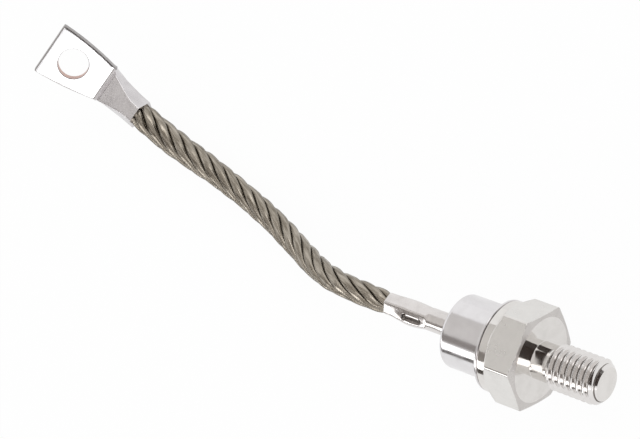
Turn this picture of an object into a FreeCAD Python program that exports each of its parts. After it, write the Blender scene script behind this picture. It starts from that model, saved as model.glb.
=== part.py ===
import FreeCAD, Part
import math
import os

import Sketcher

from FreeCAD import Placement, Rotation, Vector

# Stud rectifier diode with a stranded pigtail and a cable lug.
#
# Millimetres. The origin is the centre of the seat, the ring face of the hexagon that bears on
# the heat sink. +X runs along the stud to its tip, +Z is square to the uppermost flat of the
# hexagon. The diode lies on the opposite flat, so the surface under it is at z = -12.

doc = FreeCAD.newDocument("StudRectifierDiode")

# Driving sizes, millimetres and degrees.
SIZES = {
    "across_flats": 24.0,           # hexagon of the base, across flats
    "hex_height": 10.35,            # hexagon, seat to the end of its rear chamfer
    "seat_radius": 11.1,            # flat ring of the seat, inside the chamfer
    "chamfer_angle": 12.0,          # chamfer of the hexagon on the seat side, from its face
    "rear_chamfer_angle": 51.0,     # chamfer of the hexagon on the can side, from its face
    "flange_radius": 11.95,         # round flange behind the hexagon
    "flange_thickness": 0.95,       # round flange along the axis
    "flange_chamfer": 0.45,         # chamfer on the flange's rear edge
    "stud_radius": 6.0,             # thread crest, M12 x 1.75
    "neck_radius": 4.88,            # relief between seat and thread
    "neck_length": 4.6,             # relief along the axis, before its run-out
    "stud_length": 19.5,            # seat to tip
    "tip_chamfer": 1.6,             # chamfer at the tip
    "pedestal_radius": 6.5,         # raised land that carries the die stack
    "pedestal_height": 0.75,        # land above the flange
    "ring_outer": 9.2,              # weld ring, outer radius
    "ring_inner": 7.6,              # weld ring, inner radius
    "ring_thickness": 0.45,         # weld ring along the axis
    "cap_radius": 9.6,              # can, outside
    "cap_wall": 0.8,                # can, wall
    "cap_foot_radius": 11.9,        # foot of the can, outside
    "cap_foot": 0.6,                # foot of the can along the axis
    "cap_end": 24.4,                # seat to the end face of the can
    "cap_edge": 1.2,                # rounding of the can's end edge, outside
    "collar_radius": 5.2,           # collar of the can round the glass, outside
    "collar_wall": 0.6,             # wall of the collar
    "collar_depth": 2.6,            # collar, from the can's end face inwards
    "disc_radius": 5.5,             # lower disc of the die stack
    "disc_thickness": 1.0,          # lower disc along the axis
    "solder_thickness": 0.15,       # each solder joint of the stack
    "die_radius": 4.5,              # silicon die
    "die_thickness": 0.4,           # silicon die along the axis
    "upper_disc_radius": 3.4,       # upper disc of the die stack
    "upper_disc_thickness": 0.7,    # upper disc along the axis
    "coating_width": 0.9,           # coating round the edge of the die
    "cup_radius": 2.6,              # contact cup, outside
    "cup_floor": 0.8,               # contact cup, floor
    "cup_depth": 2.4,               # contact cup, bore
    "lead_radius": 1.6,             # inner lead
    "neck_tube_radius": 2.97,       # terminal tube, round stretch
    "tube_inner_end": 20.0,         # seat to the inner end of the terminal tube
    "tube_web_near": 26.5,          # seat to the solid web of the terminal tube, die side
    "tube_web_far": 34.2,           # seat to the solid web of the terminal tube, rope side
    "crimp_start": 33.4,            # seat to the start of the crimp
    "crimp_end": 46.6,              # seat to the mouth of the terminal tube
    "crimp_flats": 5.55,            # hexagonal crimp of the terminal tube, across flats
    "crimp_corner": 3.1,            # hexagonal crimp, radius at its rounded corners
    "crimp_bore": 2.2,              # rope bore of the terminal tube, radius
    "dent_length": 6.4,             # pressed dent in the crimp
    "dent_start": 35.2,             # seat to the dent
    "dent_radius": 1.15,            # radius of the punch that made the dent
    "dent_depth": 0.5,              # dent below the crimp's flat
    "rope_radius": 3.1,             # stranded rope
    "lug_flats": 7.5,               # crimped barrel of the lug, across flats
    "lug_straight": 3.0,            # barrel with an even section, from its mouth
    "lug_step": 11.9,               # mouth of the barrel to the pressed step
    "lug_step_top": 4.4,            # half width of the barrel's top at the step
    "lug_step_side": 4.9,           # half width of the barrel's middle at the step
    "lug_step_height": 2.4,         # half height of the barrel at the step
    "lug_fold": 14.4,               # mouth of the barrel to the fold of the palm
    "lug_bore": 2.8,                # rope bore of the lug, radius
    "lug_bore_depth": 9.5,          # rope bore of the lug
    "palm_pitch": 30.0,             # bend between the barrel and the palm
    "palm_thickness": 2.6,          # palm of the lug
    "palm_root": 10.7,              # width of the palm at the fold
    "palm_tip": 15.0,               # width of the palm at its tip
    "palm_length": 17.25,           # fold to the tip of the palm
    "hole_place": 9.6,              # fold to the centre of the bolt hole
    "hole_radius": 4.2,             # bolt hole for M8
}

# Route of the rope's centre line, from the mouth of the terminal tube to the mouth of the lug.
ROPE_ROUTE = [
    (-46.6, 0.0, 0.0),
    (-58.5, 0.0, 0.0),
    (-71.0, 1.4, -3.2),
    (-83.0, 5.6, -7.2),
    (-96.0, 10.7, -8.9),
    (-115.5, 16.4, -8.9),
    (-134.9, 20.6, -8.9),
    (-144.6, 24.2, -6.6),
]
LUG_ROLL = -7.8          # turn of the lug about its barrel, degrees
ARC_SHARE = 0.45         # part of the shorter run that a bend's arc takes up
SAME_PLACE = 0.0001      # two places closer than this are the same

sheet = doc.addObject("Spreadsheet::Sheet", "Sizes")
for row, (alias, value) in enumerate(SIZES.items(), start=1):
    sheet.set(f"A{row}", alias)
    sheet.set(f"B{row}", str(value))
    sheet.setAlias(f"B{row}", alias)
doc.recompute()

parts = {}               # node name: object that holds its solid


def size(expression):
    """Value of an expression in the sheet's aliases, each written with a leading dollar sign."""
    return float(sheet.evalExpression(expression.replace("$", "")))


def bound(expression):
    """The same expression as another object of the document reads it."""
    return expression.replace("$", "Sizes.")


def new_body(label):
    body = doc.addObject("PartDesign::Body", label)
    body.Label = label
    parts[label] = body
    return body


def base_plane(body, role):
    return next(f for f in body.Origin.OriginFeatures if f.Role == role)


def new_sketch(body, name, role):
    sketch = body.newObject("Sketcher::SketchObject", name)
    sketch.AttachmentSupport = [(base_plane(body, role), "")]
    sketch.MapMode = "FlatFace"
    return sketch


def hold_point(sketch, name, index, place, across, along):
    """Ties one end of a sketch line to its place, given as two expressions."""
    for kind, axis, text in (("DistanceX", -2, across), ("DistanceY", -1, along)):
        if text == "0":
            sketch.addConstraint(Sketcher.Constraint("PointOnObject", index, place, axis))
            continue
        number = sketch.addConstraint(
            Sketcher.Constraint(kind, -1, 1, index, place, size(text)))
        label = f"{name}_{kind[-1].lower()}"
        sketch.renameConstraint(number, label)
        sketch.setExpression(f"Constraints.{label}", bound(text))


def outline(sketch, corners):
    """Closed polygon in a sketch; each corner is two expressions in the sheet's aliases."""
    spots = [Vector(size(a), size(b), 0) for a, b in corners]
    count = len(spots)
    for i in range(count):
        sketch.addGeometry(Part.LineSegment(spots[i], spots[(i + 1) % count]), False)
    for i in range(count):
        sketch.addConstraint(Sketcher.Constraint("Coincident", i, 2, (i + 1) % count, 1))
    for i, (a, b) in enumerate(corners):
        hold_point(sketch, f"corner_{i}", i, 1, a, b)


def turned(body, name, corners):
    """Solid of revolution about X; corners are x and radius."""
    sketch = new_sketch(body, f"{name}_profile", "XY_Plane")
    outline(sketch, corners)
    turn = body.newObject("PartDesign::Revolution", name)
    turn.Profile = sketch
    turn.ReferenceAxis = (sketch, ["H_Axis"])
    turn.Angle = 360.0
    sketch.Visibility = False
    doc.recompute()
    return turn


def circle_edges(feature, x, radius):
    """Names of the feature's circular edges round X at a place and radius."""
    found = []
    for i, edge in enumerate(feature.Shape.Edges, start=1):
        curve = edge.Curve
        if isinstance(curve, Part.Circle) and abs(curve.Center.x - x) < SAME_PLACE:
            if abs(curve.Radius - radius) < SAME_PLACE:
                found.append(f"Edge{i}")
    return found


def rounded(body, name, base, x, radius, amount):
    """Fillet on the circular edge at a place and radius, all three as expressions."""
    fillet = body.newObject("PartDesign::Fillet", name)
    fillet.Base = (base, circle_edges(base, size(x), size(radius)))
    fillet.Radius = size(amount)
    fillet.setExpression("Radius", bound(amount))
    doc.recompute()
    return fillet


def flats(body, name, half_flats, half_width, near, far, first_angle):
    """Six flats round X, cut from x = near towards smaller x for the length far - near."""
    sketch = new_sketch(body, f"{name}_cut", "YZ_Plane")
    sketch.AttachmentOffset = Placement(Vector(0, 0, size(near)), Rotation(first_angle, 0, 0))
    sketch.setExpression("AttachmentOffset.Base.z", bound(near))
    outer = f"2*({half_flats})"
    outline(sketch, [
        (f"-({half_width})", half_flats), (half_width, half_flats),
        (half_width, outer), (f"-({half_width})", outer)])
    cut = body.newObject("PartDesign::Pocket", f"{name}_flat")
    cut.Profile = sketch
    cut.Length = size(far)
    cut.setExpression("Length", bound(far))
    doc.recompute()
    ring = body.newObject("PartDesign::PolarPattern", name)
    ring.Originals = [cut]
    ring.Axis = (base_plane(body, "X_Axis"), [""])
    ring.Angle = 360.0
    ring.Occurrences = 6
    body.Tip = ring
    doc.recompute()
    return ring


def disc(label, near, thickness, radius):
    """Round disc on the axis; its stud side is at x = near, its thickness runs towards -X."""
    solid = doc.addObject("Part::Cylinder", label)
    solid.Label = label
    solid.Placement = Placement(Vector(size(near), 0, 0), Rotation(Vector(0, 1, 0), -90))
    solid.setExpression("Placement.Base.x", bound(near))
    solid.setExpression("Radius", bound(radius))
    solid.setExpression("Height", bound(thickness))
    parts[label] = solid
    return solid


# Places along the axis, all measured from the seat.
FLANGE_REAR = "-($hex_height + $flange_thickness)"
PEDESTAL_TOP = f"{FLANGE_REAR} - $pedestal_height"
RING_SEAT = f"{FLANGE_REAR} + $ring_thickness"
FOOT_REAR = f"{FLANGE_REAR} - $cap_foot"
LOWER_DISC = f"{PEDESTAL_TOP} - $solder_thickness"
DIE_SOLDER = f"{LOWER_DISC} - $disc_thickness"
DIE = f"{DIE_SOLDER} - $solder_thickness"
UPPER_SOLDER = f"{DIE} - $die_thickness"
UPPER_DISC = f"{UPPER_SOLDER} - $solder_thickness"
CUP_SOLDER = f"{UPPER_DISC} - $upper_disc_thickness"
CUP_BASE = f"{CUP_SOLDER} - $solder_thickness"
CUP_FLOOR = f"{CUP_BASE} - $cup_floor"
CUP_RIM = f"{CUP_FLOOR} - $cup_depth"


def stud_base():
    """Base turned from one hexagon bar: stud, neck, hexagon, flange and die land.

    The stud is as thick as its thread's crest.
    """
    body = new_body("stud_base")
    corner = "$across_flats/sqrt(3)"
    front = f"-({corner} - $seat_radius)*tan($chamfer_angle)"
    rear = f"-$hex_height + ({corner} - $flange_radius)*tan($rear_chamfer_angle)"
    turned(body, "blank", [
        (PEDESTAL_TOP, "0"), (PEDESTAL_TOP, "$pedestal_radius"),
        (FLANGE_REAR, "$pedestal_radius"), (FLANGE_REAR, "$ring_inner"),
        (RING_SEAT, "$ring_inner"), (RING_SEAT, "$ring_outer"),
        (FLANGE_REAR, "$ring_outer"), (FLANGE_REAR, "$flange_radius - $flange_chamfer"),
        (f"{FLANGE_REAR} + $flange_chamfer", "$flange_radius"),
        ("-$hex_height", "$flange_radius"), (rear, corner), (front, corner),
        ("0", "$seat_radius"), ("0", "$neck_radius"),
        ("$neck_length", "$neck_radius"),
        ("$neck_length + ($stud_radius - $neck_radius)", "$stud_radius"),
        ("$stud_length - $tip_chamfer", "$stud_radius"),
        ("$stud_length", "$stud_radius - $tip_chamfer"), ("$stud_length", "0")])
    flats(body, "hexagon", "$across_flats/2", "$across_flats/2", "0", "$hex_height", 0)


def weld_ring():
    """Steel ring let into the flange; the foot of the can is welded on it."""
    turned(new_body("weld_ring"), "ring", [
        (RING_SEAT, "$ring_inner"), (RING_SEAT, "$ring_outer"),
        (FLANGE_REAR, "$ring_outer"), (FLANGE_REAR, "$ring_inner")])


def cap_shell():
    """Drawn steel can with a turned-out foot and a collar turned inwards round the glass."""
    body = new_body("cap_shell")
    inside = "$cap_radius - $cap_wall"
    ceiling = "-$cap_end + $cap_wall"
    collar_bore = "$collar_radius - $collar_wall"
    shell = turned(body, "can", [
        (FLANGE_REAR, inside), (FLANGE_REAR, "$cap_foot_radius"),
        (FOOT_REAR, "$cap_foot_radius"), (FOOT_REAR, "$cap_radius"),
        ("-$cap_end", "$cap_radius"), ("-$cap_end", collar_bore),
        ("-$cap_end + $collar_depth", collar_bore),
        ("-$cap_end + $collar_depth", "$collar_radius"),
        (ceiling, "$collar_radius"), (ceiling, inside)])
    rounded(body, "end_rounding", shell, "-$cap_end", "$cap_radius", "$cap_edge")


def die_stack():
    """Die between its two discs, with a solder joint at each face."""
    disc("base_solder", PEDESTAL_TOP, "$solder_thickness", "$disc_radius")
    disc("lower_moly_disc", LOWER_DISC, "$disc_thickness", "$disc_radius")
    disc("lower_die_solder", DIE_SOLDER, "$solder_thickness", "$die_radius")
    disc("silicon_die", DIE, "$die_thickness", "$die_radius")
    disc("upper_die_solder", UPPER_SOLDER, "$solder_thickness", "$upper_disc_radius")
    disc("upper_moly_disc", UPPER_DISC, "$upper_disc_thickness", "$upper_disc_radius")
    disc("contact_solder", CUP_SOLDER, "$solder_thickness", "$cup_radius")


def junction_coating():
    """Ring of silicone round the edge of the die, on the lower disc."""
    turned(new_body("junction_coating"), "coating", [
        (DIE_SOLDER, "$die_radius"), (DIE_SOLDER, "$die_radius + $coating_width"),
        (DIE, "$die_radius + $coating_width"), (UPPER_SOLDER, "$die_radius")])


def contact_cup():
    """Copper cup on the upper disc that the inner lead is pressed into."""
    turned(new_body("contact_cup"), "cup", [
        (CUP_BASE, "0"), (CUP_BASE, "$cup_radius"), (CUP_RIM, "$cup_radius"),
        (CUP_RIM, "$lead_radius"), (CUP_FLOOR, "$lead_radius"), (CUP_FLOOR, "0")])


def inner_lead():
    """Copper lead from the contact cup to the web of the terminal tube."""
    disc("inner_lead", CUP_FLOOR, f"$tube_web_near + ({CUP_FLOOR})", "$lead_radius")


def terminal_tube():
    """Tube through the glass, with a web inside, a hexagonal crimp outside and a pressed dent."""
    body = new_body("terminal_tube")
    turned(body, "tube", [
        ("-$tube_inner_end", "$lead_radius"), ("-$tube_inner_end", "$neck_tube_radius"),
        ("-$crimp_start", "$neck_tube_radius"), ("-$crimp_start", "$crimp_corner"),
        ("-$crimp_end", "$crimp_corner"), ("-$crimp_end", "$crimp_bore"),
        ("-$tube_web_far", "$crimp_bore"), ("-$tube_web_far", "0"),
        ("-$tube_web_near", "0"), ("-$tube_web_near", "$lead_radius")])
    flats(body, "crimp", "$crimp_flats/2", "$crimp_flats", "-$crimp_start",
          "$crimp_end - $crimp_start", 30)
    dent = new_sketch(body, "dent_profile", "YZ_Plane")
    dent.AttachmentOffset = Placement(Vector(0, 0, -size("$dent_start")), Rotation(30, 0, 0))
    dent.setExpression("AttachmentOffset.Base.z", bound("-$dent_start"))
    outline_circle(dent, "punch", "0", "$crimp_flats/2 + $dent_radius - $dent_depth",
                   "$dent_radius")
    cut = body.newObject("PartDesign::Pocket", "dent")
    cut.Profile = dent
    cut.Length = size("$dent_length")
    cut.setExpression("Length", bound("$dent_length"))
    doc.recompute()


def outline_circle(sketch, name, across, along, radius):
    """Circle in a sketch with its centre and radius as expressions."""
    centre = Vector(size(across), size(along), 0)
    sketch.addGeometry(Part.Circle(centre, Vector(0, 0, 1), size(radius)), False)
    hold_point(sketch, name, 0, 3, across, along)
    number = sketch.addConstraint(Sketcher.Constraint("Radius", 0, size(radius)))
    sketch.renameConstraint(number, f"{name}_radius")
    sketch.setExpression(f"Constraints.{name}_radius", bound(radius))


def glass_seal():
    """Glass fused between the can's collar and the terminal tube."""
    turned(new_body("glass_seal"), "glass", [
        ("-$cap_end + $collar_depth", "$neck_tube_radius"),
        ("-$cap_end + $collar_depth", "$collar_radius - $collar_wall"),
        ("-$cap_end + $solder_thickness", "$collar_radius - $collar_wall"),
        ("-$cap_end + $solder_thickness", "$neck_tube_radius")])


def rope_path():
    """Centre line of the rope: straight runs joined by tangent arcs. Prints the arcs' radii."""
    points = [Vector(*p) for p in ROPE_ROUTE]
    edges = []
    last = points[0]
    for before, corner, after in zip(points, points[1:], points[2:]):
        arriving, leaving = (corner - before).normalize(), (after - corner).normalize()
        turn = arriving.getAngle(leaving)
        tangent = ARC_SHARE * min((corner - before).Length, (after - corner).Length)
        radius = tangent / math.tan(turn / 2)
        print(f"rope bend {math.degrees(turn):.1f} degrees, radius {radius:.1f} mm")
        start, end = corner - arriving * tangent, corner + leaving * tangent
        inward = (leaving - arriving).normalize()
        middle = corner + inward * (radius / math.cos(turn / 2) - radius)
        edges.append(Part.LineSegment(last, start).toShape())
        edges.append(Part.Arc(start, middle, end).toShape())
        last = end
    edges.append(Part.LineSegment(last, points[-1]).toShape())
    return Part.Wire(edges)


def pigtail_rope():
    """Stranded rope as a plain tube, with its compressed ends in the two crimped bores."""
    path = rope_path()
    radius = size("$rope_radius")
    start, end = Vector(*ROPE_ROUTE[0]), Vector(*ROPE_ROUTE[-1])
    heading = (end - Vector(*ROPE_ROUTE[-2])).normalize()
    ring = Part.Wire(Part.makeCircle(radius, start, Vector(-1, 0, 0)))
    tube = path.makePipeShell([ring], True, False)
    expected = math.pi * radius ** 2 * path.Length
    print(f"rope length {path.Length:.2f} mm, volume {tube.Volume:.1f}, expected {expected:.1f}")
    near_end = Part.makeCylinder(size("$crimp_bore"), size("$crimp_end - $tube_web_far"),
                                 start, Vector(1, 0, 0))
    far_end = Part.makeCylinder(size("$lug_bore"), size("$lug_bore_depth"), end, heading)
    rope = doc.addObject("Part::Feature", "pigtail_rope")
    rope.Label = "pigtail_rope"
    rope.Shape = tube.fuse([near_end, far_end])
    parts["pigtail_rope"] = rope


def lug_section(body, name, along, pitch, half_top, half_side, half_height):
    """Six-sided section across the lug, at a place along its barrel and leaning by pitch."""
    sketch = new_sketch(body, name, "YZ_Plane")
    sketch.AttachmentOffset = Placement(Vector(0, 0, size(along)),
                                        Rotation(Vector(1, 0, 0), size(pitch)))
    sketch.setExpression("AttachmentOffset.Base.z", bound(along))
    sketch.setExpression("AttachmentOffset.Rotation.Angle", bound(f"-({pitch})"))
    outline(sketch, [
        (half_top, half_height), (half_side, "0"), (half_top, f"-({half_height})"),
        (f"-({half_top})", f"-({half_height})"), (f"-({half_side})", "0"),
        (f"-({half_top})", half_height)])
    return sketch


def cable_lug():
    """Tube lug: hexagonal barrel crimped on the rope, pressed flat into a palm that widens."""
    body = new_body("cable_lug")
    barrel = ("$lug_flats/2/sqrt(3)", "$lug_flats/sqrt(3)", "$lug_flats/2")
    sections = [
        lug_section(body, "mouth", "0", "0", *barrel),
        lug_section(body, "barrel_end", "$lug_straight", "0", *barrel),
        lug_section(body, "step", "$lug_step", "$palm_pitch/4", "$lug_step_top",
                    "$lug_step_side", "$lug_step_height"),
        lug_section(body, "fold", "$lug_fold", "$palm_pitch", "$palm_root/2",
                    "$palm_root/2", "$palm_thickness/2")]
    doc.recompute()
    loft = body.newObject("PartDesign::AdditiveLoft", "barrel")
    loft.Profile = sections[0]
    loft.Sections = sections[1:]
    loft.Ruled = True
    doc.recompute()
    palm_outline = palm_sketch(body, "palm_outline")
    outline(palm_outline, [
        ("0", "-$palm_root/2"), ("$palm_length", "-$palm_tip/2"),
        ("$palm_length", "$palm_tip/2"), ("0", "$palm_root/2")])
    pad = body.newObject("PartDesign::Pad", "palm")
    pad.Profile = palm_outline
    pad.Midplane = True
    pad.Length = size("$palm_thickness")
    pad.setExpression("Length", bound("$palm_thickness"))
    doc.recompute()
    bore = new_sketch(body, "bore_circle", "YZ_Plane")
    outline_circle(bore, "bore", "0", "0", "$lug_bore")
    drill = body.newObject("PartDesign::Pocket", "rope_bore")
    drill.Profile = bore
    drill.Reversed = True
    drill.Length = size("$lug_bore_depth")
    drill.setExpression("Length", bound("$lug_bore_depth"))
    doc.recompute()
    hole = palm_sketch(body, "hole_circle")
    outline_circle(hole, "hole", "$hole_place", "0", "$hole_radius")
    punch = body.newObject("PartDesign::Pocket", "bolt_hole")
    punch.Profile = hole
    punch.Midplane = True
    punch.Length = size("$palm_thickness*2")
    punch.setExpression("Length", bound("$palm_thickness*2"))
    doc.recompute()
    end = Vector(*ROPE_ROUTE[-1])
    heading = end - Vector(*ROPE_ROUTE[-2])
    yaw = math.degrees(math.atan2(heading.y, heading.x))
    rise = math.degrees(math.asin(heading.z / heading.Length))
    body.Placement = Placement(end, Rotation(yaw, -rise, LUG_ROLL))


def palm_sketch(body, name):
    """Sketch in the middle plane of the palm; its origin is at the fold, its x runs to the tip."""
    sketch = new_sketch(body, name, "XY_Plane")
    sketch.AttachmentOffset = Placement(Vector(size("$lug_fold"), 0, 0),
                                        Rotation(Vector(0, 1, 0), size("$palm_pitch")))
    sketch.setExpression("AttachmentOffset.Base.x", bound("$lug_fold"))
    sketch.setExpression("AttachmentOffset.Rotation.Angle", bound("-$palm_pitch"))
    return sketch


def check(document, named):
    """Stops the build where an object failed or a sub-part's solid is missing or faulty."""
    for thing in document.Objects:
        if "Invalid" in thing.State or "Error" in thing.State:
            raise RuntimeError(f"{thing.Label} failed: {thing.State}")
    for name, thing in named.items():
        shape = thing.Shape
        if shape.isNull() or not shape.isValid() or not shape.Solids:
            raise RuntimeError(f"{name} has no valid solid")
        print(f"{name}: volume {shape.Volume:.3f} mm3, solids {len(shape.Solids)}")


stud_base()
weld_ring()
die_stack()
junction_coating()
contact_cup()
inner_lead()
cap_shell()
glass_seal()
terminal_tube()
pigtail_rope()
cable_lug()
doc.recompute()
check(doc, parts)
os.makedirs("parts", exist_ok=True)
for node, thing in parts.items():
    thing.Shape.exportStep(f"parts/{node}.step")
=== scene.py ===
"""Stud rectifier diode with a stranded pigtail and a cable lug, dressed for the camera.

The frame is the CAD model's: the origin is the centre of the seat, +X runs along the stud to its
tip and +Z is square to the uppermost flat of the hexagon. Sizes are millimetres unless a name
says otherwise, and they turn into metres where a mesh is made.
"""

from __future__ import annotations

import logging
import math
from collections.abc import Callable, Sequence
from dataclasses import dataclass, field
from enum import Enum
from typing import ClassVar

import bmesh
import bpy
from mathutils import Matrix, Vector

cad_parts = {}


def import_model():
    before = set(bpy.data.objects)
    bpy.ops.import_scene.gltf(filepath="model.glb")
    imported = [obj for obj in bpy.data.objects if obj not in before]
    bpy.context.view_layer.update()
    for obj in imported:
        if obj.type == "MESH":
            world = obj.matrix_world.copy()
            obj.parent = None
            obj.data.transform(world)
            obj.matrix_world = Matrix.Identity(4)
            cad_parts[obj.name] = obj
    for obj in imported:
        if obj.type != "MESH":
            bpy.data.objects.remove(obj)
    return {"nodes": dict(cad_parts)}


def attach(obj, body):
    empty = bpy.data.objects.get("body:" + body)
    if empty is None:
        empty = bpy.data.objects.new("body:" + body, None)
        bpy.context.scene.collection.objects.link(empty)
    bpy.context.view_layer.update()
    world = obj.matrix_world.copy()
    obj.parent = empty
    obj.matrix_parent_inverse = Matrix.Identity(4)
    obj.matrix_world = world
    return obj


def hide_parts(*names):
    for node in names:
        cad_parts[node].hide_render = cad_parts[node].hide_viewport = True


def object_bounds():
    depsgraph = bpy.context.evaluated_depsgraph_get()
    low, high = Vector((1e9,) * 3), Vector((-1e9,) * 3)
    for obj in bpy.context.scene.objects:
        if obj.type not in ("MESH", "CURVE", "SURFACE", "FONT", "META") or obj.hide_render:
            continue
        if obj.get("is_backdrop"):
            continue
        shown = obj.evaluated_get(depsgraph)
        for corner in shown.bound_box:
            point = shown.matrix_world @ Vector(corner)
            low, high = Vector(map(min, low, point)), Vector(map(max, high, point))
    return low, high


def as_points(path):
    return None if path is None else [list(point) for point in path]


LOG = logging.getLogger("diode")
MM = 0.001                    # metres in a millimetre
BODY = "root"                 # the one rigid body of the part

Ring = list[Vector]
Place = tuple[float, float, float]
Corner = tuple[float, float, float]     # along, out and rounding
Spot = tuple[float, float]
Profile = list[Spot]
Socket = bpy.types.NodeSocket
Station = tuple[Vector, Vector, Vector, float]
Tree = bpy.types.NodeTree


# ---- finishes ---------------------------------------------------------------------------------

WHITE = (1.0, 1.0, 1.0, 1.0)
NOISE_SPAN = (0.3, 0.7)       # nearly all values of a noise texture lie in it
PATCH_SPAN = (0.42, 0.68)     # noise over which clean metal turns into a dull patch
DRAWN_STRETCH = 0.04          # drawing marks are this many times as wide as they are long


def linear(colour: str) -> tuple[float, float, float, float]:
    """Turns an sRGB colour into the linear values that a shader works with.

    Args:
        colour: six hex digits after a hash sign.

    Returns:
        Linear red, green, blue and an alpha of one.
    """
    parts = [int(colour[i:i + 2], 16) / 255.0 for i in (1, 3, 5)]
    red, green, blue = (
        v / 12.92 if v <= 0.04045 else ((v + 0.055) / 1.055) ** 2.4 for v in parts)
    return red, green, blue, 1.0


def add_node(tree: Tree, kind: str, feeds: dict[str | int, object] | None = None,
             **settings: object) -> bpy.types.Node:
    """Adds one node with its settings and links.

    Args:
        tree: the tree that gets the node.
        kind: type name of the node.
        feeds: for each input, a value to set or another node's output to link.
        settings: fields of the node itself.

    Returns:
        The new node.
    """
    node = tree.nodes.new(kind)
    for key, value in settings.items():
        setattr(node, key, value)
    for key, value in (feeds or {}).items():
        if isinstance(value, Socket):
            tree.links.new(value, node.inputs[key])
        else:
            node.inputs[key].default_value = value
    return node


def noise(tree: Tree, place: Socket, scale: float, detail: float, rough: float = 0.5) -> Socket:
    """Value of a noise texture; a larger scale makes it finer."""
    return add_node(tree, "ShaderNodeTexNoise", {
        "Vector": place, "Scale": scale, "Detail": detail, "Roughness": rough}).outputs[0]


def ranged(tree: Tree, value: Socket, span: tuple[float, float], low: float = 0.0,
           high: float = 1.0) -> Socket:
    """Stretches a span of values to the range from low to high."""
    return add_node(tree, "ShaderNodeMapRange", {
        "Value": value, "From Min": span[0], "From Max": span[1], "To Min": low,
        "To Max": high}).outputs[0]


def combined(tree: Tree, operation: str, first: object, second: object) -> Socket:
    """Result of a Math node for two outputs or values."""
    return add_node(tree, "ShaderNodeMath", {0: first, 1: second},
                    operation=operation).outputs[0]


def blended(tree: Tree, share: Socket, first: object, second: object) -> Socket:
    """Colour that goes from the first to the second as the share rises."""
    return add_node(tree, "ShaderNodeMix", {0: share, 6: first, 7: second},
                    data_type="RGBA").outputs[2]


def bumped(tree: Tree, height: Socket, depth: float, under: Socket | None = None) -> Socket:
    """Normal of a relief with a depth in millimetres, over another normal if one is given.

    Args:
        tree: the material's node tree.
        height: height of the relief, from 0 to 1.
        depth: what a height of one stands for, in millimetres.
        under: the normal that it lies over.

    Returns:
        A normal output.
    """
    feeds = {"Height": height, "Strength": 1.0, "Distance": depth * MM}
    if under is not None:
        feeds["Normal"] = under
    return add_node(tree, "ShaderNodeBump", feeds).outputs[0]


def start_material(name: str) -> tuple[bpy.types.Material, Tree, bpy.types.Node]:
    """Starts a node material.

    Args:
        name: name of the material.

    Returns:
        The material, its node tree and its Principled shader.
    """
    material = bpy.data.materials.new(name)
    material.use_nodes = True
    tree = material.node_tree
    return material, tree, tree.nodes["Principled BSDF"]


def connect(tree: Tree, shader: bpy.types.Node, colour: Socket, roughness: Socket,
            normal: Socket) -> None:
    """Feeds a Principled shader with a colour, a roughness and a normal."""
    for key, value in (("Base Color", colour), ("Roughness", roughness), ("Normal", normal)):
        tree.links.new(value, shader.inputs[key])


class Lay(Enum):
    """Direction in which a tool left its marks."""

    TURNED = "rings round the stud's axis"
    DRAWN = "lines along the stud's axis"
    TUMBLED = "no direction"


@dataclass(frozen=True)
class MetalFinish:
    """A plated or bare metal surface with tool marks, dull patches and soft waves."""

    name: str
    clean: str                  # sRGB hex of the clean metal
    stained: str                # sRGB hex of its duller patches
    roughness: float
    roughness_spread: float = 0.05
    lay: Lay = Lay.TUMBLED
    mark: float = 0.3           # spacing of the tool marks
    mark_depth: float = 0.0015
    patch: float = 4.0          # size of a dull patch
    patch_share: float = 0.5    # 0 leaves the patches out
    ripple: float = 0.0         # depth of the soft waves in the surface
    ripple_size: float = 3.0

    def coordinates(self, tree: Tree) -> Socket:
        """Texture coordinates in millimetres, stretched along the tool marks.

        Args:
            tree: the material's node tree.

        Returns:
            A vector output.
        """
        place = add_node(tree, "ShaderNodeTexCoord")
        scaled = add_node(tree, "ShaderNodeVectorMath",
                          {0: place.outputs["Object"], 1: (1 / MM,) * 3}, operation="MULTIPLY")
        if self.lay is Lay.TUMBLED:
            return scaled.outputs[0]
        split = add_node(tree, "ShaderNodeSeparateXYZ", {0: scaled.outputs[0]})
        if self.lay is Lay.DRAWN:
            short = combined(tree, "MULTIPLY", split.outputs["X"], DRAWN_STRETCH)
            lines = add_node(tree, "ShaderNodeCombineXYZ",
                             {"X": short, "Y": split.outputs["Y"], "Z": split.outputs["Z"]})
            return lines.outputs[0]
        across = add_node(tree, "ShaderNodeCombineXYZ",
                          {"Y": split.outputs["Y"], "Z": split.outputs["Z"]})
        out = add_node(tree, "ShaderNodeVectorMath", {0: across.outputs[0]}, operation="LENGTH")
        rings = add_node(tree, "ShaderNodeCombineXYZ",
                         {"X": split.outputs["X"], "Y": out.outputs["Value"]})
        return rings.outputs[0]

    def material(self) -> bpy.types.Material:
        """Builds the node material.

        Returns:
            The material, named for the finish.
        """
        material, tree, shader = start_material(self.name)
        shader.inputs["Metallic"].default_value = 1.0
        marks = noise(tree, self.coordinates(tree), 1 / self.mark, 3.0, 0.55)
        place = add_node(tree, "ShaderNodeTexCoord").outputs["Object"]
        patches = noise(tree, place, 1 / (self.patch * MM), 4.0, 0.6)
        share = ranged(tree, patches, PATCH_SPAN, 0.0, self.patch_share)
        colour = blended(tree, share, linear(self.clean), linear(self.stained))
        dull = ranged(tree, patches, NOISE_SPAN, self.roughness - self.roughness_spread / 2,
                      self.roughness + self.roughness_spread)
        waves = noise(tree, place, 1 / (self.ripple_size * MM), 1.0)
        slow = bumped(tree, waves, self.ripple)
        connect(tree, shader, colour, dull, bumped(tree, marks, self.mark_depth, slow))
        return material


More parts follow.
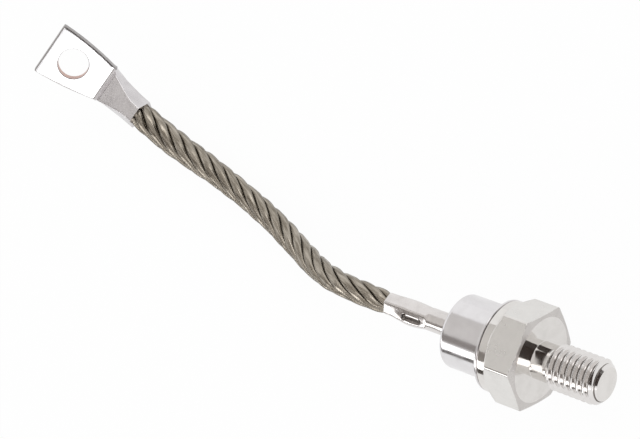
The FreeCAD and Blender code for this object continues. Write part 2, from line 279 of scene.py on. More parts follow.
@dataclass(frozen=True)
class StrandFinish:
    """Tinned copper wires of a rope, with painted shade where the strands meet and on their inner
    halves.
    """

    name: str = "tinned_copper_wire"
    bright: str = "#BAB2A6"
    dull: str = "#7E766A"
    # colour of the painted shade between the strands and on their inner halves
    gap_shade_colour: str = "#1C1814"
    roughness: float = 0.2
    rougher: float = 0.12       # added where a wire is dull
    smoother: float = 0.04      # taken off where it is bright
    bright_span: tuple[float, float] = (0.35, 0.66)     # noise from dull to bright wire
    uneven: float = 0.03        # depth of the wires' own unevenness

    def material(self) -> bpy.types.Material:
        """Builds the node material; it reads the mesh's own run attribute and the attribute that
        holds its painted shade.

        Returns:
            The material.
        """
        material, tree, shader = start_material(self.name)
        shader.inputs["Metallic"].default_value = 1.0
        run = add_node(tree, "ShaderNodeAttribute", attribute_name="run")
        gap_shade = add_node(tree, "ShaderNodeAttribute", attribute_name="gap_shade")
        streaks = noise(tree, run.outputs["Vector"], 1.0, 3.0, 0.6)
        share = ranged(tree, streaks, self.bright_span)
        metal = blended(tree, share, linear(self.dull), linear(self.bright))
        # painted shade: the mesh's shade attribute mixes the wires towards the shade colour
        colour = blended(tree, gap_shade.outputs["Fac"], metal, linear(self.gap_shade_colour))
        dull = ranged(tree, streaks, NOISE_SPAN, self.roughness + self.rougher,
                      self.roughness - self.smoother)
        connect(tree, shader, colour, dull, bumped(tree, streaks, self.uneven))
        return material


@dataclass(frozen=True)
class SoftFinish:
    """Glass or silicone: not a metal, with fine bubbles and a slight haze."""

    name: str
    colour: str
    shade: str
    roughness: float
    ior: float
    transmission: float = 0.0
    grain: float = 0.4          # size of a bubble or a fleck
    haze: float = 0.1           # roughness that the flecks add
    relief: float = 0.01        # height of the flecks

    def material(self) -> bpy.types.Material:
        """Builds the node material.

        Returns:
            The material.
        """
        material, tree, shader = start_material(self.name)
        shader.inputs["IOR"].default_value = self.ior
        shader.inputs["Transmission Weight"].default_value = self.transmission
        place = add_node(tree, "ShaderNodeTexCoord").outputs["Object"]
        flecks = noise(tree, place, 1 / (self.grain * MM), 2.0)
        colour = blended(tree, flecks, linear(self.colour), linear(self.shade))
        haze = ranged(tree, flecks, (0.0, 1.0), self.roughness, self.roughness + self.haze)
        connect(tree, shader, colour, haze, bumped(tree, flecks, self.relief))
        return material


# Nickel plate over turned copper: a warm mirror that shows the lathe's rings in its highlights.
TURNED_NICKEL = MetalFinish("turned_nickel_plate", "#E2DFDC", "#D5D2CE", 0.09,
                            lay=Lay.TURNED, mark=0.35, mark_depth=0.0008, ripple=0.004)
# Nickel plate over drawn hexagon bar: the same colour, but soft and even, without reflections.
DRAWN_NICKEL = MetalFinish("drawn_nickel_plate", "#E4E2DF", "#DBD9D6", 0.24,
                           lay=Lay.DRAWN, mark=0.3, mark_depth=0.0012, ripple=0.01)
# Nickel plate over a rolled thread: greyer and a little rougher than the turned faces.
ROLLED_NICKEL = MetalFinish("rolled_nickel_plate", "#E6E3E1", "#DAD6D4", 0.12,
                            lay=Lay.TURNED, mark=0.3, mark_depth=0.002, ripple=0.01)
# Recesses such as the thread's root and the tube's dent: a deep grey, painted shade where the
# recess lies in shadow.
PAINTED_RECESS_SHADE = MetalFinish("painted_recess_shade", "#7E7874", "#5C5652", 0.32,
                          lay=Lay.TURNED, mark=0.3, mark_depth=0.002)
# The chamfer that the lathe cut on the seat's side: rougher than the seat, and painted a deeper
# grey as shade.
SHADED_FACED_NICKEL = MetalFinish("shaded_faced_nickel_plate", "#CFCBC8", "#C3BFBC", 0.28,
                           lay=Lay.TURNED, mark=0.25, mark_depth=0.002)
# Bright plate on a deep-drawn steel can: neutral, almost white, a clear mirror.
PLATED_CAN = MetalFinish("bright_plated_steel", "#E4E2E3", "#D7D4D5", 0.15,
                         lay=Lay.TURNED, mark=0.5, mark_depth=0.0006, ripple=0.006)
# Tin plate on the pressed tube: white and bright, and wavy where the dies pressed it.
TINNED_TUBE = MetalFinish("tinned_copper_tube", "#E2DEDC", "#C9C4C1", 0.17,
                          mark=0.8, mark_depth=0.002, ripple=0.07, ripple_size=1.8)
# Matt tin plate on the lug: very pale, with wide soft highlights.
TINNED_LUG = MetalFinish("matt_tin_plate", "#F6F5F7", "#E6E3E5", 0.26,
                         mark=0.7, mark_depth=0.0015, ripple=0.05, ripple_size=3.0)
# The same tin on the lug's crimped barrel, painted greyer as shade.
SHADED_BARREL_TIN = MetalFinish("shaded_barrel_tin_plate", "#DAD7D8", "#C4C0C1", 0.24,
                            mark=0.7, mark_depth=0.0015, ripple=0.07, ripple_size=2.2)
# Tin drawn thin over the lug's cut edges: grey, with dirt in it. The same grey in the crease at
# the fold is painted shade.
WORN_EDGE_AND_CREASE_SHADE = MetalFinish("worn_tin_edge_and_crease_shade", "#A9A5A4", "#7F7A78", 0.3,
                        mark=0.4, mark_depth=0.0015, ripple=0.02)
# Copper that a punch sheared: bare, orange and rough along the wall of the bolt hole.
SHEARED_COPPER = MetalFinish("sheared_copper", "#CDAEA4", "#A3857B", 0.32,
                             mark=0.4, mark_depth=0.004)
# What the can hides: unplated copper, dull solder, lapped discs and die, a plated ring, and the
# milky silicone round the die's edge.
BARE_COPPER = MetalFinish("bare_copper", "#E0A080", "#B56F50", 0.25, mark_depth=0.002)
SOLDER = MetalFinish("solder", "#B9B8B8", "#8E8D90", 0.4, mark=0.6, mark_depth=0.01)
MOLYBDENUM = MetalFinish("lapped_molybdenum", "#A8A6A4", "#8F8D8C", 0.35,
                         lay=Lay.TURNED, mark=0.2, mark_depth=0.002)
SILICON = MetalFinish("lapped_silicon", "#6E7077", "#595B63", 0.22, mark_depth=0.0008)
STEEL_RING = MetalFinish("plated_steel_ring", "#8F8B86", "#6A655F", 0.35,
                         lay=Lay.TURNED, mark_depth=0.003)
SILICONE = SoftFinish("silicone_rubber", "#C9CBC6", "#B4B6B0", 0.5, 1.41)
# Glass fused round the tube: a dark green shine between two bright walls.
SEAL_GLASS = SoftFinish("fused_seal_glass", "#4E5F5A", "#3B4A46", 0.08, 1.52, 0.35)


# ---- shapes -----------------------------------------------------------------------------------

SAME_SPOT = 0.002             # points closer than this become one
SLIVER = 0.001                # edges shorter than this are dissolved
ROUND_SHARE = 0.48            # largest share of a side that the rounding of a corner takes
SECTOR = 60.0                 # degrees from one corner of a hexagon to the next


def mm(x: float, y: float, z: float) -> Vector:
    """A point in millimetres."""
    return Vector((x, y, z))


def polar(x: float, out: float, angle: float) -> Vector:
    """A point at a place along X, a distance from the axis and an angle from +Y to +Z."""
    return mm(x, out * math.cos(angle), out * math.sin(angle))


def turns(count: int) -> list[float]:
    """Even angles once round."""
    return [math.tau * i / count for i in range(count)]


def lathe(profile: Profile, angles: Sequence[float]) -> list[Ring]:
    """Turns a profile of places along X and distances from it round X, a ring for each point."""
    return [[polar(x, out, angle) for angle in angles] for x, out in profile]


def smooth_step(low: float, high: float, value: float) -> float:
    """Eases from 0 at low to 1 at high, whichever of them is the larger."""
    share = min(1.0, max(0.0, (value - low) / (high - low)))
    return share * share * (3.0 - 2.0 * share)


def eased(corners: Sequence[Corner], steps: int = 4) -> Profile:
    """Rounds the corners of a polyline, with the same number of points whatever its sizes.

    Args:
        corners: along, out and rounding of each corner; the first and last stay sharp.
        steps: parts of each rounding.

    Returns:
        The points of the rounded line.
    """
    spots = [Vector((a, b)) for a, b, _ in corners]
    line: Profile = [tuple(spots[0])]
    for before, here, after, (_, _, ease) in zip(spots, spots[1:], spots[2:], corners[1:]):
        back, on = before - here, after - here
        reach = min(ease, ROUND_SHARE * back.length, ROUND_SHARE * on.length)
        first = here + (back.normalized() * reach if back.length else back)
        last = here + (on.normalized() * reach if on.length else on)
        for i in range(steps + 1):
            t = i / steps
            point = first * (1 - t) ** 2 + here * (2 * t * (1 - t)) + last * t ** 2
            line.append(tuple(point))
    line.append(tuple(spots[-1]))
    return line


def add_object(name: str, data: bpy.types.ID) -> bpy.types.Object:
    """Makes an object of a mesh, curve, lamp or camera and links it to the scene.

    Args:
        name: name of the object.
        data: what it shows.

    Returns:
        The object.
    """
    item = bpy.data.objects.new(name, data)
    bpy.context.scene.collection.objects.link(item)
    return item


class Surface:
    """A mesh in the making: grids of quads that end up as one piece."""

    def __init__(self) -> None:
        """Starts with no points."""
        self.points: list[Vector] = []
        self.faces: list[tuple[int, ...]] = []
        self.slots: list[int] = []
        self.marks: dict[str, list] = {}

    def grid(self, rings: Sequence[Ring], slot: int | Callable[[int, int], int] = 0,
             lead: int = 0) -> None:
        """Joins closed rings of equal length with quads.

        Args:
            rings: the rings, one after another.
            slot: material slot, or a function that gives it for a row and a column.
            lead: rows that one turn moves on by, for rings that lie along a helix.
        """
        start, width = len(self.points), len(rings[0])
        for ring in rings:
            self.points.extend(ring)
        for row in range(len(rings) - 1):
            for column in range(width):
                step = lead if column == width - 1 else 0
                if row + step + 1 >= len(rings):
                    continue
                after = (column + 1) % width
                self.faces.append((
                    start + row * width + column,
                    start + (row + step) * width + after,
                    start + (row + step + 1) * width + after,
                    start + (row + 1) * width + column))
                self.slots.append(slot(row, column) if callable(slot) else slot)

    def lid(self, ring: Ring, slot: int = 0) -> None:
        """Closes a ring with triangles to its middle.

        Args:
            ring: the ring.
            slot: material slot of the triangles.
        """
        start = len(self.points)
        middle = sum(ring, Vector((0, 0, 0))) / len(ring)
        self.points.extend([*ring, middle])
        for i in range(len(ring)):
            self.faces.append((start + i, start + (i + 1) % len(ring), start + len(ring)))
            self.slots.append(slot)

    def piece(self, name: str, finishes: Sequence[bpy.types.Material], place: Matrix,
              sharp: float, weld: bool) -> bpy.types.Object:
        """Makes the object.

        Args:
            name: name of the piece.
            finishes: materials, in the order of the slots.
            place: where the points go.
            sharp: angle in degrees from which an edge shows as one.
            weld: joins points that meet and turns the faces outwards.

        Returns:
            The object, linked to the scene.
        """
        mesh = bpy.data.meshes.new(name)
        mesh.from_pydata([(place @ p) * MM for p in self.points], [], self.faces)
        for finish in finishes:
            mesh.materials.append(finish)
        mesh.polygons.foreach_set("material_index", self.slots)
        for key, values in self.marks.items():
            if isinstance(values[0], float):
                mesh.attributes.new(key, "FLOAT", "POINT").data.foreach_set("value", values)
            else:
                flat = [part for value in values for part in value]
                mesh.attributes.new(key, "FLOAT_VECTOR", "POINT").data.foreach_set(
                    "vector", flat)
        work = bmesh.new()
        work.from_mesh(mesh)
        if weld:
            bmesh.ops.remove_doubles(work, verts=work.verts, dist=SAME_SPOT * MM)
            bmesh.ops.dissolve_degenerate(work, edges=work.edges, dist=SLIVER * MM)
        bmesh.ops.recalc_face_normals(work, faces=work.faces)
        for face in work.faces:
            face.smooth = True
        for edge in work.edges:
            if len(edge.link_faces) == 2:
                edge.smooth = edge.calc_face_angle(0.0) < math.radians(sharp)
        work.to_mesh(mesh)
        work.free()
        return add_object(name, mesh)


class Piece:
    """A visible piece that stands for one CAD node."""

    name: ClassVar[str]
    node: ClassVar[str]
    slot: ClassVar[str]                         # material slot that its finish comes from
    finishes: ClassVar[tuple[MetalFinish | SoftFinish | StrandFinish, ...]]
    sharp: ClassVar[float] = 40.0               # degrees from which an edge shows as one
    weld: ClassVar[bool] = True

    def shape(self, skin: Surface) -> None:
        """Adds the piece's faces to an empty mesh; each kind of piece has its own."""
        raise NotImplementedError

    def place(self) -> Matrix:
        """Matrix from the piece's own frame to the part's frame."""
        return Matrix.Identity(4)

    def build(self) -> bpy.types.Object:
        """Builds the piece and puts it in its CAD node's place.

        Returns:
            The piece.
        """
        skin = Surface()
        self.shape(skin)
        piece = skin.piece(self.name, [finish.material() for finish in self.finishes],
                           self.place(), self.sharp, self.weld)
        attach(piece, BODY)
        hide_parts(self.node)
        LOG.info("%s: %d faces, stands for %s", piece.name, len(piece.data.polygons), self.node)
        return piece


@dataclass
class StudBase(Piece):
    """Nickel-plated base: threaded stud, neck, hexagon, flange and the land for the die."""

    name = "plated_stud_base"
    node = "stud_base"
    slot = "nickel_plate"
    finishes = (TURNED_NICKEL, DRAWN_NICKEL, ROLLED_NICKEL, PAINTED_RECESS_SHADE, SHADED_FACED_NICKEL)

    across_flats: float = 24.0
    hex_height: float = 10.35
    corner_round: float = 1.2       # rounding of the bar's six long edges
    seat_radius: float = 11.1
    chamfer: float = 12.0           # degrees from the face, on the seat's side
    rear_chamfer: float = 36.0      # degrees from the face, on the can's side
    shoulder: float = 1.5           # the flange's turned round runs on this far into the bar
    flange_radius: float = 11.95
    flange_thickness: float = 0.95
    flange_chamfer: float = 0.45
    neck_radius: float = 4.88
    neck_length: float = 4.6
    stud_radius: float = 6.0
    stud_length: float = 19.5
    tip_chamfer: float = 1.6
    pitch: float = 1.75
    thread_depth: float = 1.0735
    ring_inner: float = 7.6
    ring_outer: float = 9.2
    ring_sunk: float = 0.45
    pedestal_radius: float = 6.5
    pedestal_height: float = 0.75
    thread_from: float = 0.9        # the helical rows start here, on the neck
    rows_per_pitch: int = 24
    crest_half: float = 0.0625      # half of the crest's flat, in pitches
    flank: float = 0.354            # run of a flank, in pitches
    crest_round: float = 0.08       # rounding of the crest, as a share of the thread's depth
    root_round: float = 0.3         # rounding of the root, likewise
    shade_from: float = 0.9          # the root is painted shade from this share of the depth
    blend: float = 0.12             # how softly the chamfers meet the flats
    bright_width: float = 0.2       # how far the bar's long edges are bright

    def angles(self) -> list[float]:
        """Angles of the columns, close together at the hexagon's corners."""
        fine, coarse = 0.4, 2.5
        sector = {round(a, 4) for i in range(7) for a in (fine * i, SECTOR - fine * i)}
        sector |= {coarse * i for i in range(2, 23)}
        steps = sorted(a for a in sector if a < SECTOR)
        return [math.radians(SECTOR * k + a) for k in range(6) for a in steps]

    def hexagon(self, angle: float) -> float:
        """Distance from the axis to the hexagon's rounded outline.

        Args:
            angle: from +Y to +Z; corners lie at 0, 60, 120 degrees and so on.

        Returns:
            The distance.
        """
        half = math.radians(SECTOR / 2)
        off = abs((math.degrees(angle) + SECTOR / 2) % SECTOR - SECTOR / 2)
        turn = math.radians(off)
        centre = (self.across_flats / 2 - self.corner_round) / math.cos(half)
        reach = self.corner_round * math.sin(half)
        limit = math.atan2(reach, centre + self.corner_round * math.cos(half))
        if turn < limit:
            return centre * math.cos(turn) + math.sqrt(
                self.corner_round ** 2 - (centre * math.sin(turn)) ** 2)
        return self.across_flats / 2 / math.cos(half - turn)

    def chamfered(self, x: float) -> float:
        """Radius that the two turned chamfers leave of the hexagon at a place along it.

        Args:
            x: place along the axis.

        Returns:
            The smaller of the two radii.
        """
        front = self.seat_radius - x / math.tan(math.radians(self.chamfer))
        behind = max(0.0, x + self.hex_height - self.shoulder)
        rear = self.flange_radius + behind / math.tan(math.radians(self.rear_chamfer))
        return min(front, rear)

    def hexagon_rows(self) -> list[float]:
        """Places along X for the hexagon's rows, close together over the chamfers.

        Returns:
            The places, from the can's side to the seat.
        """
        fine, front, rear = 0.05, 0.75, 3.0
        near = [-fine * i for i in range(round(front / fine) + 1)]
        far = [-self.hex_height + 2 * fine * i for i in range(round(rear / fine / 2) + 1)]
        return sorted(near + far)

    def outside(self, x: float, angle: float) -> float:
        """Distance from the axis to the hexagon with its chamfers, their edges eased.

        Args:
            x: place along the axis.
            angle: from +Y to +Z.

        Returns:
            The distance.
        """
        flat, turned = self.hexagon(angle), self.chamfered(x)
        over = max(0.0, self.blend - abs(flat - turned))
        return min(flat, turned) - over * over / (4 * self.blend)

    def back(self) -> Profile:
        """Profile from the land's centre to the flange's front edge.

        Returns:
            Places along X and distances from it.
        """
        rear = -(self.hex_height + self.flange_thickness)
        top = rear - self.pedestal_height
        sunk = rear + self.ring_sunk
        return eased([
            (top, 0.0, 0), (top, self.pedestal_radius, 0.1), (rear, self.pedestal_radius, 0.05),
            (rear, self.ring_inner, 0.05), (sunk, self.ring_inner, 0.02),
            (sunk, self.ring_outer, 0.02), (rear, self.ring_outer, 0.06),
            (rear, self.flange_radius - self.flange_chamfer, 0.1),
            (rear + self.flange_chamfer, self.flange_radius, 0.1),
            (-self.hex_height - 0.1, self.flange_radius, 0)])

    def front(self) -> Profile:
        """Profile from the seat's edge to the first row of the thread.

        Returns:
            Places along X and distances from it.
        """
        return eased([
            (0.0, self.seat_radius - 0.12, 0), (0.0, self.neck_radius, 0.12),
            (self.thread_from, self.neck_radius, 0)])

    def crest(self, phase: float) -> float:
        """Depth below the thread's crest, as a share, at a place in one pitch.

        Args:
            phase: the place in pitches; the crest's middle lies at one half.

        Returns:
            Zero on the crest, one at the bottom of the root.
        """
        down = (abs(phase % 1.0 - 0.5) - self.crest_half) / self.flank
        crest, root = self.crest_round, self.root_round
        if down < crest:
            return 0.0 if down < -crest else (down + crest) ** 2 / (4 * crest)
        if down > 1.0 - root:
            over = min(down, 1.0 + root / 2) - (1.0 - root)
            return 1.0 - root + over - over ** 2 / (3 * root)
        return down

    def limit(self, x: float) -> float:
        """Largest radius of the stud at a place along it.

        Args:
            x: place along the axis.

        Returns:
            The radius of the neck, the stud or its tip chamfer.
        """
        out = self.neck_length + self.stud_radius - self.neck_radius
        if x < out:
            return self.neck_radius + max(0.0, x - self.neck_length)
        bevel = self.stud_length - self.tip_chamfer
        return self.stud_radius - max(0.0, x - bevel)

    def thread_rings(self, angles: Sequence[float]) -> list[Ring]:
        """Rows of the stud that climb along the right-hand thread.

        Args:
            angles: the columns.

        Returns:
            The rows, from the neck to the tip.
        """
        rings = []
        first = self.thread_from - 2 * self.pitch
        rows = math.ceil((self.stud_length - first) / self.pitch + 1) * self.rows_per_pitch
        for row in range(rows):
            phase = row / self.rows_per_pitch
            start = first + phase * self.pitch
            depth = self.thread_depth * self.crest(phase)
            ring = []
            for angle in angles:
                x = start + self.pitch * angle / math.tau
                x = min(max(x, self.thread_from), self.stud_length)
                ring.append(polar(x, min(self.stud_radius - depth, self.limit(x)), angle))
            rings.append(ring)
        return rings

    def shape(self, skin: Surface) -> None:
        """Adds the base from its land to its tip.

        Args:
            skin: the mesh that it goes into.
        """
        turned, drawn, rolled, dark, faced = range(len(self.finishes))
        angles = self.angles()
        back, rows, front = self.back(), self.hexagon_rows(), self.front()
        rings = lathe(back, angles)
        rings += [[polar(x, self.outside(x, a), a) for a in angles] for x in rows]
        rings += lathe(front, angles)

        def slot(row: int, column: int) -> int:
            """Drawn finish where the bar's own flats are left, turned finish elsewhere.

            Args:
                row: row of faces, from the land on.
                column: column of faces.

            Returns:
                Material slot.
            """
            place = row - len(back)
            if not 0 <= place < len(rows) - 1:
                return turned
            middle = (rows[place] + rows[place + 1]) / 2
            flat = self.hexagon(angles[column])
            bright_edge = (flat * math.cos(math.radians(SECTOR / 2))
                           > self.across_flats / 2 - self.bright_width)
            if self.chamfered(middle) > flat:
                return turned if bright_edge else drawn
            # the front chamfer's finish is the nickel painted a deeper grey as shade
            return turned if middle < -self.hex_height / 2 else faced

        def thread_slot(row: int, _: int) -> int:
            """Turned finish on the neck, rolled finish on the thread, painted shade in its root.

            Args:
                row: row of faces along the thread.
                _: column, which makes no difference.

            Returns:
                Material slot.
            """
            phase = (row + 0.5) / self.rows_per_pitch
            if self.thread_from + (phase - 2.0) * self.pitch < self.neck_length:
                return turned
            # painted shade: the root's faces get the deep recess colour
            return dark if self.crest(phase) > self.shade_from else rolled

        skin.grid(rings, slot)
        skin.grid(self.thread_rings(angles), thread_slot, self.rows_per_pitch)
        tip = self.stud_radius - self.tip_chamfer
        face = lathe([(self.stud_length, tip * share) for share in (1.0, 0.97, 0.7, 0.3)],
                     angles)
        skin.grid(face)
        skin.lid(face[-1])


@dataclass
class Can(Piece):
    """Bright can over the die, with its collar turned in round the glass."""

    name = "plated_can"
    node = "cap_shell"
    slot = "plated_can"
    finishes = (PLATED_CAN,)

    foot: float = -11.3             # face that is welded on the flange
    foot_radius: float = 11.9
    foot_thickness: float = 0.6
    end: float = -24.4
    radius: float = 9.6
    wall: float = 0.8
    edge_round: float = 1.2
    collar_radius: float = 5.2
    collar_wall: float = 0.6
    collar_depth: float = 2.6
    columns: int = 144

    def shape(self, skin: Surface) -> None:
        """Adds the can.

        Args:
            skin: the mesh that it goes into.
        """
        inside = self.radius - self.wall
        bore = self.collar_radius - self.collar_wall
        ceiling = self.end + self.wall
        profile = eased([
            (self.foot, inside, 0), (self.foot, self.foot_radius, 0.15),
            (self.foot - self.foot_thickness, self.foot_radius, 0.25),
            (self.foot - self.foot_thickness, self.radius, 0.3),
            (self.end, self.radius, self.edge_round), (self.end, bore, 0.35),
            (self.end + self.collar_depth, bore, 0.1),
            (self.end + self.collar_depth, self.collar_radius, 0.1),
            (ceiling, self.collar_radius, 0.3), (ceiling, inside, 0.7),
            (self.foot, inside, 0)], 8)
        skin.grid(lathe(profile, turns(self.columns)))


@dataclass
class GlassSeal(Piece):
    """Glass round the terminal tube, drawn up along both walls as it froze."""

    name = "fused_glass_seal"
    node = "glass_seal"
    slot = "seal_glass"
    finishes = (SEAL_GLASS,)

    near: float = -21.8
    face: float = -24.25
    tube_radius: float = 2.97
    bore: float = 4.6
    sag: float = 0.28               # depth of the hollow between the two walls
    steps: int = 10                 # parts of the hollow
    columns: int = 96

    def shape(self, skin: Surface) -> None:
        """Adds the seal.

        Args:
            skin: the mesh that it goes into.
        """
        width, steps = self.bore - self.tube_radius, self.steps
        hollow = [(self.face + self.sag * math.sin(math.pi * i / steps) ** 0.6,
                   self.tube_radius + width * i / steps) for i in range(steps + 1)]
        profile = [(self.near, self.tube_radius), *hollow, (self.near, self.bore),
                   (self.near, self.tube_radius)]
        skin.grid(lathe(profile, turns(self.columns)))


@dataclass
class TerminalTube(Piece):
    """Tube that leaves the glass, pressed to a hexagon round the rope and dented once."""

    name = "pressed_terminal_tube"
    node = "terminal_tube"
    slot = "tinned_tube"
    finishes = (TINNED_TUBE, PAINTED_RECESS_SHADE)
    sharp = 50.0

    inner_end: float = -20.0
    radius: float = 2.97
    inner_bore: float = 1.6
    inner_bore_end: float = -26.5
    round_until: float = -26.0      # plain round up to here
    rows_from: float = -32.6        # even rows from here to the mouth
    crimp_from: float = -33.4
    crimp_round: float = 0.3        # the step into the crimp starts this much before it
    crimp_step: float = 0.35        # and ends this much behind it
    mouth: float = -46.6
    crimp_flats: float = 5.55
    crimp_corner: float = 3.1
    corner_blend: float = 0.12      # how softly the crimp's flats turn into its corners
    blend_gain: float = 0.05        # makes up for what that takes off the flats
    bore: float = 2.2
    bore_end: float = -36.0
    flare: Spot = (2.55, 2.42)      # the bore's radius at the mouth's two edges
    flare_length: float = 2.0
    mouth_edge: float = 0.1         # from one of those edges to the other
    lip: float = 0.4                # the mouth is rounded over this length
    lip_fall: float = 0.2
    dent_from: float = -34.9
    dent_length: float = 5.6
    dent_angle: float = 130.0       # degrees; towards the front, below the uppermost edge
    punch_radius: float = 0.8
    punch_depth: float = 0.7
    dent_slope: float = 0.7         # length of the dent's sloping ends
    dent_rise: float = 0.5          # how much shallower the dent is at its very ends
    shade_depth: float = 0.12       # painted shade in the dent from this depth downwards
    roll: float = 1.0               # turn of the pressed hexagon, degrees
    swell_place: float = -38.8      # where the rope inside swells the tube most
    swell_reach: float = 6.2
    swell_front: float = 0.7
    swell_back: float = 0.3
    columns: int = 168
    row_step: float = 0.14

    def outline(self, x: float, angle: float) -> float:
        """Distance from the axis to the outside of the tube.

        Args:
            x: place along the tube.
            angle: from +Y to +Z.

        Returns:
            The distance, with the crimp, the step before it and the dent.
        """
        off = (math.degrees(angle) - self.roll + SECTOR / 2) % SECTOR - SECTOR / 2
        flat = self.crimp_flats / 2 / math.cos(math.radians(off))
        corner, blend = self.crimp_corner, self.corner_blend
        mixed = -math.log(math.exp(-flat / blend) + math.exp(-corner / blend)) * blend
        pressed = mixed + self.blend_gain
        share = smooth_step(self.crimp_from + self.crimp_round,
                            self.crimp_from - self.crimp_step, x)
        out = self.radius + (min(pressed, corner) - self.radius) * share
        out += self.swelling(x, angle)
        lip = smooth_step(self.mouth + self.lip, self.mouth, x)
        return out - self.dent(x, angle, out) - self.lip_fall * lip ** 2

    def swelling(self, x: float, angle: float) -> float:
        """How far the rope inside pushes the tube outwards, mostly towards the front.

        Args:
            x: place along the tube.
            angle: from +Y to +Z.

        Returns:
            The distance.
        """
        along = max(0.0, 1.0 - ((x - self.swell_place) / self.swell_reach) ** 2) ** 2
        front = max(0.0, -math.cos(angle)) ** 2 * self.swell_front
        back = max(0.0, math.cos(angle)) ** 2 * self.swell_back
        return along * (front + back)

    def dent(self, x: float, angle: float, out: float) -> float:
        """Depth of the punch's mark at a place on the tube.

        Args:
            x: place along the tube.
            angle: from +Y to +Z.
            out: distance from the axis to the tube without the mark.

        Returns:
            The depth.
        """
        away = math.radians(self.dent_angle)
        across = out * math.sin(angle - away)
        height = out * math.cos(angle - away)
        if height < 0.0:
            return 0.0
        end = min(self.dent_from - x, x - (self.dent_from - self.dent_length))
        if end <= 0.0 or abs(across) >= self.punch_radius:
            return 0.0
        floor = (self.crimp_flats / 2 - self.punch_depth + self.punch_radius
                 - math.sqrt(self.punch_radius ** 2 - across ** 2))
        rise = self.dent_rise * (1.0 - smooth_step(0.0, self.dent_slope, end))
        return max(0.0, height - floor - rise)

    def shape(self, skin: Surface) -> None:
        """Adds the tube, outside and inside.

        Args:
            skin: the mesh that it goes into.
        """
        bright, dark = range(len(self.finishes))
        angles = turns(self.columns)
        rows = [self.inner_end, self.round_until]
        place = self.rows_from
        while place > self.mouth + self.row_step:
            rows.append(place)
            place -= self.row_step
        edge = self.mouth + self.mouth_edge
        rows += [edge, self.mouth + 0.3 * self.mouth_edge, self.mouth]
        rings = [[polar(x, self.outline(x, a), a) for a in angles] for x in rows]
        inner = lathe([(self.mouth, self.flare[0]), (edge, self.flare[1]),
                       (self.mouth + self.flare_length, self.bore), (self.bore_end, self.bore),
                       (self.bore_end, 0.0)], angles)
        back = lathe([(self.inner_bore_end, 0.0), (self.inner_bore_end, self.inner_bore),
                      (self.inner_end, self.inner_bore)], angles)

        def slot(row: int, column: int) -> int:
            """Painted shade in the dent, bright tin elsewhere.

            Args:
                row: row of faces, from the tube's hidden end on.
                column: column of faces.

            Returns:
                Material slot.
            """
            place = row - len(back)
            if not 0 <= place < len(rows):
                return bright
            out = self.radius + self.swelling(rows[place], angles[column])
            depth = self.dent(rows[place], angles[column], out)
            # painted shade: the dent's deeper faces get the deep recess colour
            return dark if depth > self.shade_depth else bright

        skin.grid([*back, *rings, *inner], slot)


